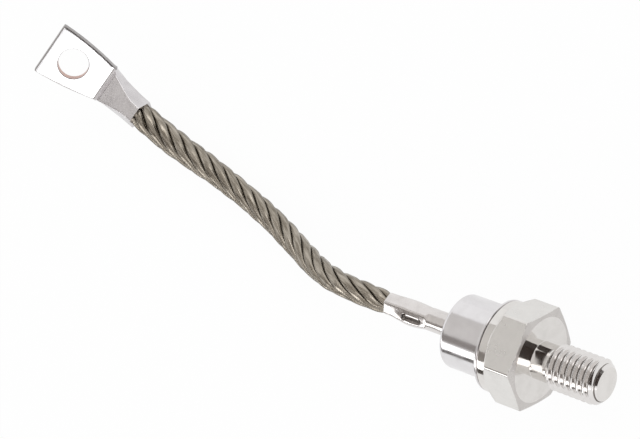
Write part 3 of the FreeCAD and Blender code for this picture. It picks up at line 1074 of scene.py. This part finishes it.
@dataclass
class Lug(Piece):
    """Cable lug: barrel crimped on the rope, pressed flat into a palm with a bolt hole."""

    name = "tinned_cable_lug"
    node = "cable_lug"
    slot = "tinned_lug"
    finishes = (TINNED_LUG, SHEARED_COPPER, WORN_EDGE_AND_CREASE_SHADE, SHADED_BARREL_TIN)
    sharp = 32.0

    mouth_place: Place = (-144.6, 24.2, -6.6)
    heading: Place = (-9.7, 3.6, 2.3)
    roll: float = -7.8              # degrees
    flats: float = 7.5
    straight: float = 3.0
    step: float = 11.9
    step_top: float = 4.4
    step_side: float = 4.9
    step_height: float = 2.4
    fold: float = 14.4
    bore: float = 2.8
    bore_depth: float = 9.5
    pitch: float = 30.0             # degrees
    thickness: float = 2.6
    root: float = 10.7
    tip: float = 15.0
    length: float = 17.25
    hole_place: float = 9.6
    hole_radius: float = 4.2
    edge: float = 0.36              # rounding of the palm's edges
    crease: float = 0.45            # width of the crease at the fold, painted grey as shade
    press: float = 0.35             # depth of the step that the palm's die pressed
    swell: float = 0.5              # how far the palm's long edges bow outwards
    soft: float = 0.25              # rounding of the barrel's corners
    soft_loss: float = 0.1          # how much less they are rounded at the fold
    lean_share: float = 0.25        # share of the bend that is reached at the step
    lip: float = 0.16               # rounding at the hole's two mouths
    worn: float = 0.3               # share of a rounding where its flattening starts
    overlap: float = 0.9            # how far the palm reaches back into the barrel
    reach: float = 40.0             # further from the hole than any edge of the palm
    halvings: int = 40
    barrel_rows: int = 24
    fold_rows: int = 8
    columns: int = 240              # points round the palm and its hole

    def place(self) -> Matrix:
        """Matrix from the lug's own frame, with X along the barrel, to the part's frame."""
        way = Vector(self.heading)
        yaw = math.atan2(way.y, way.x)
        rise = math.asin(way.z / way.length)
        turn = (Matrix.Rotation(yaw, 4, "Z") @ Matrix.Rotation(-rise, 4, "Y")
                @ Matrix.Rotation(math.radians(self.roll), 4, "X"))
        return Matrix.Translation(Vector(self.mouth_place)) @ turn

    def section(self, half_top: float, half_side: float, half_height: float,
                soft: float) -> Profile:
        """Six-sided section with rounded corners and the same points for every size.

        Args:
            half_top: half the width of the top and bottom sides.
            half_side: half the width at mid height.
            half_height: half the height.
            soft: rounding of the corners.

        Returns:
            Points across and up, once round.
        """
        corners = [(half_top, half_height), (half_side, 0.0), (half_top, -half_height),
                   (-half_top, -half_height), (-half_side, 0.0), (-half_top, half_height)]
        middle = [((a[0] + b[0]) / 2, (a[1] + b[1]) / 2)
                  for a, b in zip(corners, corners[1:] + corners[:1])]
        points: Profile = []
        for i, corner in enumerate(corners):
            before, after = middle[i - 1], middle[i]
            arc = eased([(*before, 0), (*corner, soft), (*after, 0)], 4)
            points.extend(arc[:1] + [self.between(arc[0], arc[1], t) for t in (0.35, 0.7)]
                          + arc[1:-1] + [self.between(arc[-2], arc[-1], t) for t in (0.3, 0.65)])
        return points

    @staticmethod
    def between(a: Spot, b: Spot, t: float) -> Spot:
        """A point at a share of the way from one point to another."""
        return a[0] + (b[0] - a[0]) * t, a[1] + (b[1] - a[1]) * t

    def stations(self) -> list[tuple[float, ...]]:
        """Sections along the barrel.

        Returns:
            For each: place, lean in degrees, half top, half side, half height, rounding and
            how far its top is pressed down.
        """
        half = self.flats / 2
        top, side = half / math.sqrt(3), self.flats / math.sqrt(3)
        rows = []
        for i in range(self.barrel_rows + 1):
            s = self.step * i / self.barrel_rows
            share = max(0.0, (s - self.straight) / (self.step - self.straight))
            ease = share ** 1.15
            rows.append((s, self.lean_share * self.pitch * ease,
                         top + (self.step_top - top) * ease,
                         side + (self.step_side - side) * ease,
                         half + (self.step_height - half) * ease, self.soft, 0.0))
        last = rows[-1]
        for i in range(1, self.fold_rows + 1):
            t = i / self.fold_rows
            rows.append((self.step + (self.fold - self.step) * t,
                         last[1] + (self.pitch - last[1]) * t,
                         last[2] + (self.root / 2 - last[2]) * t,
                         last[3] + (self.root / 2 - last[3]) * t,
                         last[4] + (self.thickness / 2 - last[4]) * t ** 0.8,
                         self.soft - self.soft_loss * t,
                         self.press * math.sin(math.pi * t) ** 0.5))
        return rows

    def barrel(self, skin: Surface) -> None:
        """Adds the barrel, its bore and the stretch that is pressed flat.

        Args:
            skin: the mesh that it goes into.
        """
        # the barrel's finish is the lug's tin painted greyer as shade
        _, _, worn, barrel = range(len(self.finishes))
        rings: list[Ring] = []
        for s, lean, top, side, height, soft, press in self.stations():
            turn = math.radians(lean)
            ring = []
            for across, up in self.section(top, side, height, soft):
                up -= press * smooth_step(0.2, 0.9, up / height)
                ring.append(mm(s - up * math.sin(turn), across, up * math.cos(turn)))
            rings.append(ring)
        count = len(rings[0])
        start = math.atan2(rings[0][0].z, rings[0][0].y)
        angles = [start - turn for turn in turns(count)]
        for x, out in ((0.0, self.bore + 0.15), (0.12, self.bore), (self.bore_depth, self.bore),
                       (self.bore_depth, 0.0)):
            rings.insert(0, [polar(x, out, angle) for angle in angles])
        creased = len(rings) - 1 - round(
            self.fold_rows * self.crease / (self.fold - self.step))
        # painted shade: the rows of the crease at the fold get the edge grey
        skin.grid(rings, lambda row, _: worn if row >= creased else barrel)

    def half_width(self, along: float) -> float:
        """Half the palm's width at a distance from the fold.

        Args:
            along: the distance.

        Returns:
            Half the width.
        """
        share = min(1.0, max(0.0, along / self.length))
        return (self.root + (self.tip - self.root) * share) / 2 + self.swell * math.sin(
            math.pi * share) ** 0.8

    def rim(self) -> list[Vector]:
        """Outline of the palm, found by halving outwards from the bolt hole.

        Returns:
            Places along and across from the fold, once round.
        """
        points = []
        for angle in turns(self.columns):
            cos, sin = math.cos(angle), math.sin(angle)
            low, high = 0.0, self.reach
            for _ in range(self.halvings):
                reach = (low + high) / 2
                along, across = self.hole_place + reach * cos, reach * sin
                inside = (-self.overlap < along < self.length
                          and abs(across) < self.half_width(along))
                low, high = (reach, high) if inside else (low, reach)
            points.append(Vector((self.hole_place + low * cos, low * sin)))
        return points

    def palm(self, skin: Surface) -> None:
        """Adds the palm, in rings from the wall of its hole to its outline.

        Args:
            skin: the mesh that it goes into.
        """
        plated, sheared, worn, _ = range(len(self.finishes))
        half, lip = self.thickness / 2, self.lip
        turn = math.radians(self.pitch)
        ways = [Vector((math.cos(angle), math.sin(angle))) for angle in turns(self.columns)]
        middle = Vector((self.hole_place, 0.0))
        hole = [middle + w * self.hole_radius for w in ways]
        edge = self.rim()
        shares = (0.02, 0.3, 0.6, 0.85, 1.0)
        rings: list[Ring] = []

        def lift(spot: Vector, up: float) -> Vector:
            """Point above the palm's middle plane, in the lug's frame.

            Args:
                spot: place along and across from the fold.
                up: height over the plane.

            Returns:
                The point.
            """
            along, across = spot
            return mm(self.fold + along * math.cos(turn) - up * math.sin(turn), across,
                      along * math.sin(turn) + up * math.cos(turn))

        for up, grow in ((-half + lip, 0.0), (half - lip, 0.0),
                         (half - lip * self.worn, lip * self.worn), (half, lip)):
            rings.append([lift(p + w * grow, up) for p, w in zip(hole, ways)])
        inset = [e - (e - middle).normalized() * self.edge for e in edge]
        for share in shares:
            rings.append([lift((h + w * lip).lerp(e, share), half)
                          for h, w, e in zip(hole, ways, inset)])
        low, high = self.edge * self.worn, 1 - self.worn
        for up, share in ((half - low, high), (half - self.edge, 1.0),
                          (-half + self.edge, 1.0), (-half + low, high)):
            rings.append([lift(i.lerp(e, share), up) for i, e in zip(inset, edge)])
        for share in reversed(shares):
            rings.append([lift((h + w * lip).lerp(e, share), -half)
                          for h, w, e in zip(hole, ways, inset)])
        rings.append([lift(p + w * lip, -half) for p, w in zip(hole, ways)])
        rings.append(rings[0])
        top = 3 + len(shares)
        edges = {1, 2, *range(top, top + 4)}
        skin.grid(rings, lambda row, _: sheared if row == 0 else worn if row in edges else plated)

    def shape(self, skin: Surface) -> None:
        """Adds the barrel and the palm."""
        self.barrel(skin)
        self.palm(skin)


@dataclass
class PigtailRope(Piece):
    """Rope of six wire strands round a core, laid right-handed, from the tube to the lug."""

    name = "stranded_rope"
    node = "pigtail_rope"
    slot = "tinned_strand"
    finishes = (StrandFinish(),)
    sharp = 75.0
    weld = False

    route: tuple[Place, ...] = (
        (-46.6, 0.0, 0.0), (-58.5, 0.0, 0.0), (-71.0, 1.4, -3.2), (-83.0, 5.6, -7.2),
        (-96.0, 10.7, -8.9), (-115.5, 16.4, -8.9), (-134.9, 20.6, -8.9), (-144.6, 24.2, -6.6))
    length: float = 102.8
    radius: float = 3.1
    strands: int = 6
    strand_high: float = 1.0        # half height of a strand, square to the rope's surface
    strand_share: float = 0.97      # share of its sixth of the rope that a strand fills
    shoulder: float = 0.42          # how far a strand's top falls away towards its sides
    lay: float = 34.0               # length of one turn of a strand
    wires: int = 18                 # wires that show round a strand
    wire_lay: float = 34.0          # length of one turn of a wire in its strand
    wire_depth: float = 0.065
    flat_top: float = 0.6           # below one, a strand's section is flatter than an ellipse
    flat_side: float = 0.8
    wobble: float = 0.05            # how unevenly a strand lies, up and down
    wobble_rate: float = 0.9        # radians of that wave to a millimetre
    wobble_shift: float = 2.1       # radians from one strand's wave to the next
    side_shade_from: float = 0.88       # share of a strand's width where the painted shade at its side starts
    wire_gap_shade: float = 0.12        # painted shade between two wires
    streak: float = 6.0             # length of a duller stretch of wire
    streak_girth: float = 3.0       # the larger, the more the wires of a strand differ
    streak_shift: float = 5.0       # keeps the strands' streaks apart
    core_radius: float = 1.15
    core_streak: float = 7.0
    core_around: int = 16           # points round the core
    core_every: int = 3             # it takes one station in so many
    around: int = 88                # points round a strand
    spacing: float = 0.6            # from one station to the next
    look: float = 1.0               # how far before and behind a station gives its direction
    tuck: float = 2.0               # how far the strands run into the tube and the lug
    near_squeeze: float = 0.79      # size at the tube's mouth
    far_squeeze: float = 0.9        # size at the lug's mouth
    mouth_span: tuple[float, float] = (-0.6, 3.2)   # where it grows to its full size
    loose_end: float = 0.15         # how much wider the rope opens towards the lug
    loose_span: tuple[float, float] = (62.0, 90.0)
    floor: float = -11.98           # wires lie flat on what is under the rope

    def line(self) -> list[Vector]:
        """Centre line as metres, read from a smooth spline through the route's points.

        Returns:
            Its points, from the tube's mouth to the lug's.
        """
        curve = bpy.data.curves.new("rope_line", "CURVE")
        curve.dimensions = "3D"
        spline = curve.splines.new("NURBS")
        spline.points.add(len(self.route) - 1)
        for point, place in zip(spline.points, self.route):
            point.co = (*(v * MM for v in place), 1.0)
        spline.order_u = 3
        spline.use_endpoint_u = True
        spline.resolution_u = 24
        carrier = add_object("rope_line", curve)
        bpy.context.view_layer.update()
        mesh = bpy.data.meshes.new_from_object(carrier)
        points = [v.co.copy() for v in mesh.vertices]
        bpy.data.objects.remove(carrier)
        bpy.data.curves.remove(curve)
        bpy.data.meshes.remove(mesh)
        return points

    def stations(self, line: Sequence[Vector]) -> list[Station]:
        """Even stations along the rope, with a frame that doesn't twist.

        Args:
            line: the centre line in metres.

        Returns:
            For each station: place and two cross directions, in millimetres, and the distance
            from the tube's mouth.
        """
        points = [p / MM for p in line]
        first = (points[0] - points[1]).normalized()
        last = (points[-1] - points[-2]).normalized()
        points = [points[0] + first * self.tuck, *points, points[-1] + last * self.tuck]
        runs = [(b - a).length for a, b in zip(points, points[1:])]
        total = sum(runs)
        count = round(total / self.spacing)

        def at(distance: float) -> Vector:
            """Point of the line at a distance from its start.

            Args:
                distance: the distance.

            Returns:
                The point.
            """
            passed = 0.0
            for k, run in enumerate(runs):
                if passed + run >= distance or k == len(runs) - 1:
                    break
                passed += run
            return points[k].lerp(points[k + 1], (distance - passed) / run)

        result = []
        up = Vector((0, 0, 1))
        for i in range(count + 1):
            goal = total * i / count
            way = (at(min(goal + self.look, total))
                   - at(max(goal - self.look, 0.0))).normalized()
            up = (up - way * up.dot(way)).normalized()
            result.append((at(goal), up.copy(), way.cross(up), goal - self.tuck))
        return result

    def squeeze(self, along: float, total: float) -> float:
        """How much smaller the rope is near its two mouths.

        Args:
            along: distance from the tube's mouth.
            total: length from mouth to mouth.

        Returns:
            One where the rope has its full size.
        """
        return min(squeeze + (1 - squeeze) * smooth_step(*self.mouth_span, away)
                   for squeeze, away in ((self.near_squeeze, along),
                                         (self.far_squeeze, total - along)))

    def strand(self, skin: Surface, stations: Sequence[Station], number: int) -> None:
        """Adds one strand, with its wires as ribs along it.

        Args:
            skin: the mesh that it goes into.
            stations: the rope's stations.
            number: which strand, from zero.
        """
        total = stations[-1][3] - self.tuck
        rings, run, gap_shade = [], [], []
        home = self.radius - self.strand_high
        sector = math.pi / self.strands * self.strand_share
        for here, up, side, along in stations:
            size = self.squeeze(along, total)
            size *= 1.0 + self.loose_end * smooth_step(*self.loose_span, along)
            base = math.tau * (number / self.strands + along / self.lay)
            wobble = self.wobble * math.sin(
                along * self.wobble_rate + number * self.wobble_shift)
            ring = []
            for t in turns(self.around):
                cos, sin = math.cos(t), math.sin(t)
                high = math.copysign(abs(cos) ** self.flat_top, cos)
                wide = math.copysign(abs(sin) ** self.flat_side, sin)
                turn = t + math.tau * along / self.wire_lay
                rib = math.cos(self.wires * turn)
                fall = self.shoulder * abs(wide) ** 4 * max(0.0, high)
                out = home + wobble + self.strand_high * high - fall + self.wire_depth * rib
                angle = base + sector * wide
                spot = here + (up * math.cos(angle) + side * math.sin(angle)) * out * size
                spot.z = max(spot.z, self.floor)
                ring.append(spot)
                # painted shade: full on a strand's inner half, growing towards its sides and
                # between its wires
                deep = smooth_step(self.side_shade_from, 1.0, abs(wide)) if cos > 0.0 else 1.0
                gap_shade.append(min(1.0, deep + self.wire_gap_shade * smooth_step(0.2, -1.0, rib)))
                run.append((along / self.streak,
                            self.streak_girth * math.cos(turn) + number * self.streak_shift,
                            self.streak_girth * math.sin(turn)))
            rings.append(ring)
        skin.grid(rings)
        skin.marks.setdefault("run", []).extend(run)
        skin.marks.setdefault("gap_shade", []).extend(gap_shade)

    def core(self, skin: Surface, stations: Sequence[Station]) -> None:
        """Adds the plain strand in the middle.

        Args:
            skin: the mesh that it goes into.
            stations: the rope's stations.
        """
        rings = []
        for here, up, side, along in stations[::self.core_every]:
            size = self.squeeze(along, stations[-1][3] - self.tuck) * self.core_radius
            ring = []
            for t in turns(self.core_around):
                ring.append(here + (up * math.cos(t) + side * math.sin(t)) * size)
                skin.marks["run"].append((along / self.core_streak, math.cos(t), math.sin(t)))
                # the core is painted fully in shade
                skin.marks["gap_shade"].append(1.0)
            rings.append(ring)
        skin.grid(rings)

    def shape(self, skin: Surface) -> None:
        """Adds the strands and the core."""
        stations = self.stations(self.line())
        for number in range(self.strands):
            self.strand(skin, stations, number)
        self.core(skin, stations)

    def tie(self, rope: bpy.types.Object, lug: bpy.types.Object) -> None:
        """Args:
            rope: the rope's own piece; not used.
            lug: the lug's piece; not used.
        """
        tuple(v * MM for v in self.route[0])
        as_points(self.line())


@dataclass
class HiddenStack:
    """Sealed parts inside the can, which keep their CAD solids and get their own finishes."""

    finishes: dict[str, MetalFinish | SoftFinish] = field(default_factory=lambda: {
        "weld_ring": STEEL_RING, "base_solder": SOLDER, "lower_moly_disc": MOLYBDENUM,
        "lower_die_solder": SOLDER, "silicon_die": SILICON, "upper_die_solder": SOLDER,
        "upper_moly_disc": MOLYBDENUM, "contact_solder": SOLDER,
        "junction_coating": SILICONE, "contact_cup": BARE_COPPER, "inner_lead": BARE_COPPER})

    def dress(self, nodes: dict[str, bpy.types.Object]) -> None:
        """Gives each node its material.

        Args:
            nodes: the CAD nodes by name.
        """
        made: dict[str, bpy.types.Material] = {}
        for node, finish in self.finishes.items():
            if finish.name not in made:
                made[finish.name] = finish.material()
            for slot in nodes[node].material_slots:
                slot.material = made[finish.name]
            LOG.info("%s: %s", node, finish.name)


# ---- studio -----------------------------------------------------------------------------------

def rectangle(name: str, wide: float, high: float, height: float = 0.0) -> bpy.types.Mesh:
    """A mesh of one flat rectangle round the Z axis, in millimetres.

    Args:
        name: name of the mesh.
        wide: its size along X.
        high: its size along Y.
        height: how high it lies.

    Returns:
        The mesh.
    """
    mesh = bpy.data.meshes.new(name)
    mesh.from_pydata([(x * wide / 2 * MM, y * high / 2 * MM, height * MM)
                      for x, y in ((-1, -1), (1, -1), (1, 1), (-1, 1))], [], [(0, 1, 2, 3)])
    return mesh


@dataclass(frozen=True)
class Panel:
    """A rectangle beside the part, in millimetres from the seat."""

    name: str
    centre: Place
    wide: float
    high: float

    def face(self, item: bpy.types.Object, aim: Place = (0.0, 0.0, 0.0)) -> None:
        """Puts an object at the panel's centre with its Z axis away from a place.

        Args:
            item: the object.
            aim: the place.
        """
        item.location = Vector(self.centre) * MM
        away = Vector(self.centre) - Vector(aim)
        item.rotation_euler = away.to_track_quat("Z", "Y").to_euler()


@dataclass(frozen=True)
class Card(Panel):
    """Matt card that only reflections see: it gives the metal something to mirror."""

    colour: str
    roughness: float = 0.9

    def build(self) -> None:
        """Sets the card up so that it faces the part."""
        mesh = rectangle(self.name, self.wide, self.high)
        material, _, shader = start_material(self.name)
        shader.inputs["Base Color"].default_value = linear(self.colour)
        shader.inputs["Roughness"].default_value = self.roughness
        mesh.materials.append(material)
        card = add_object(self.name, mesh)
        self.face(card)
        card.visible_camera = False
        card.visible_shadow = False
        card.visible_diffuse = False
        card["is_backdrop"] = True


@dataclass(frozen=True)
class SoftBox(Panel):
    """Soft rectangular lamp."""

    glow: float                     # how bright its face is, where one is white
    aim: Place = (-70.0, 10.0, 0.0)  # middle of the part

    def build(self) -> None:
        """Sets the lamp up so that it faces the part."""
        lamp = bpy.data.lights.new(self.name, "AREA")
        lamp.shape = "RECTANGLE"
        lamp.size, lamp.size_y = self.wide * MM, self.high * MM
        lamp.energy = self.glow * math.pi * self.wide * self.high * MM * MM
        self.face(add_object(self.name, lamp), self.aim)


@dataclass
class Studio:
    """White sweep, soft lights and cards round the part, and the camera."""

    floor: float = -12.0            # height of the floor
    floor_size: float = 4000.0
    lens: float = 225.0
    sensor: float = 36.0
    clip: Spot = (0.01, 20.0)       # nearest and furthest that the camera sees, in metres
    camera_place: Place = (481.82, -19.53, 858.46)
    camera_right: Place = (0.789, 0.3601, -0.4979)
    camera_up: Place = (-0.2856, 0.9324, 0.2217)
    floor_white: float = 0.96       # how much of pure white the camera sees in the paper
    floor_shine: float = 0.75       # how much of it reflections see
    fill: float = 0.75              # strength of the light from all round
    lamps: tuple[SoftBox, ...] = (
        SoftBox("front_strip", (-300.0, -900.0, 330.0), 1500.0, 330.0, 1.7),
        SoftBox("side_box", (640.0, -760.0, 560.0), 600.0, 620.0, 1.35),
        SoftBox("top_box", (-60.0, 780.0, 900.0), 700.0, 400.0, 1.3))
    cards: tuple[Card, ...] = (
        Card("front_card", (-360.0, -680.0, 620.0), 1600.0, 330.0, "#958F8B"),
        Card("low_card", (-300.0, -900.0, 90.0), 1800.0, 200.0, "#55504C"),
        Card("camera_card", (820.0, 170.0, 720.0), 1500.0, 1080.0, "#3A2F2A"),
        Card("back_card", (560.0, 900.0, 400.0), 900.0, 640.0, "#4A4340"),
        Card("sky_card", (-450.0, 0.0, 1050.0), 1500.0, 1150.0, "#E8E5E2"))

    def seen(self, tree: Tree) -> Socket:
        """One for rays from the camera, off metal or through glass, and zero for the rest.

        Args:
            tree: the node tree that gets the nodes.

        Returns:
            A value output.
        """
        path = add_node(tree, "ShaderNodeLightPath")
        either = combined(tree, "MAXIMUM", path.outputs["Is Camera Ray"],
                          path.outputs["Is Glossy Ray"])
        return combined(tree, "MAXIMUM", either, path.outputs["Is Transmission Ray"])

    def world(self) -> None:
        """White surroundings for camera and reflections, softer ones for the fill light."""
        world = bpy.data.worlds.new("white_tent")
        bpy.context.scene.world = world
        world.use_nodes = True
        tree = world.node_tree
        tree.nodes.clear()
        fill, white = (add_node(tree, "ShaderNodeBackground", {"Color": WHITE, "Strength": glow})
                       for glow in (self.fill, 1.0))
        mix = add_node(tree, "ShaderNodeMixShader",
                       {0: self.seen(tree), 1: fill.outputs[0], 2: white.outputs[0]})
        add_node(tree, "ShaderNodeOutputWorld", {"Surface": mix.outputs[0]})

    def sweep(self) -> None:
        """White paper under the part, which keeps a faint shadow."""
        mesh = rectangle("paper_floor", self.floor_size, self.floor_size, self.floor)
        material, tree, _ = start_material("matt_paper")
        tree.nodes.clear()
        matt = add_node(tree, "ShaderNodeBsdfDiffuse", {"Color": linear("#F4F4F4")})
        white = add_node(tree, "ShaderNodeEmission", {"Color": WHITE})
        path = add_node(tree, "ShaderNodeLightPath")
        direct = combined(tree, "MULTIPLY", path.outputs["Is Camera Ray"], self.floor_white)
        mirrored = combined(tree, "MULTIPLY", self.seen(tree), self.floor_shine)
        mix = add_node(tree, "ShaderNodeMixShader",
                       {0: combined(tree, "MAXIMUM", direct, mirrored), 1: matt.outputs[0],
                        2: white.outputs[0]})
        add_node(tree, "ShaderNodeOutputMaterial", {"Surface": mix.outputs[0]})
        mesh.materials.append(material)
        add_object("paper_floor", mesh)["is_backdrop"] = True

    def camera(self) -> None:
        """Camera at the photograph's place, turned as it was."""
        right, up = Vector(self.camera_right), Vector(self.camera_up)
        back = right.cross(up).normalized()
        up = back.cross(right.normalized())
        data = bpy.data.cameras.new("camera")
        data.lens, data.sensor_width = self.lens, self.sensor
        data.clip_start, data.clip_end = self.clip
        camera = add_object("camera", data)
        matrix = Matrix((right.normalized(), up, back)).transposed().to_4x4()
        matrix.translation = Vector(self.camera_place) * MM
        camera.matrix_world = matrix
        bpy.context.scene.camera = camera

    def build(self) -> None:
        """Sets up everything but the camera."""
        bpy.context.scene.view_settings.view_transform = "Standard"
        self.world()
        self.sweep()
        for item in (*self.lamps, *self.cards):
            item.build()
        LOG.info("studio ready")


def main() -> None:
    """Builds the part's pieces, dresses its hidden nodes and sets up the studio."""
    logging.basicConfig(level=logging.INFO, format="%(name)s: %(message)s")
    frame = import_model()
    cad_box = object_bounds()
    studio = Studio()
    studio.camera()
    lug, rope = Lug(), PigtailRope()
    lug_piece = lug.build()
    rope.tie(rope.build(), lug_piece)
    for piece in (StudBase(), Can(), GlassSeal(), TerminalTube()):
        piece.build()
    HiddenStack().dress(frame["nodes"])
    studio.build()
    boxes = {"cad": cad_box, "visual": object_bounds()}
    {key: [list(corner) for corner in box] for key, box in boxes.items()}


if __name__ == "__main__":
    main()
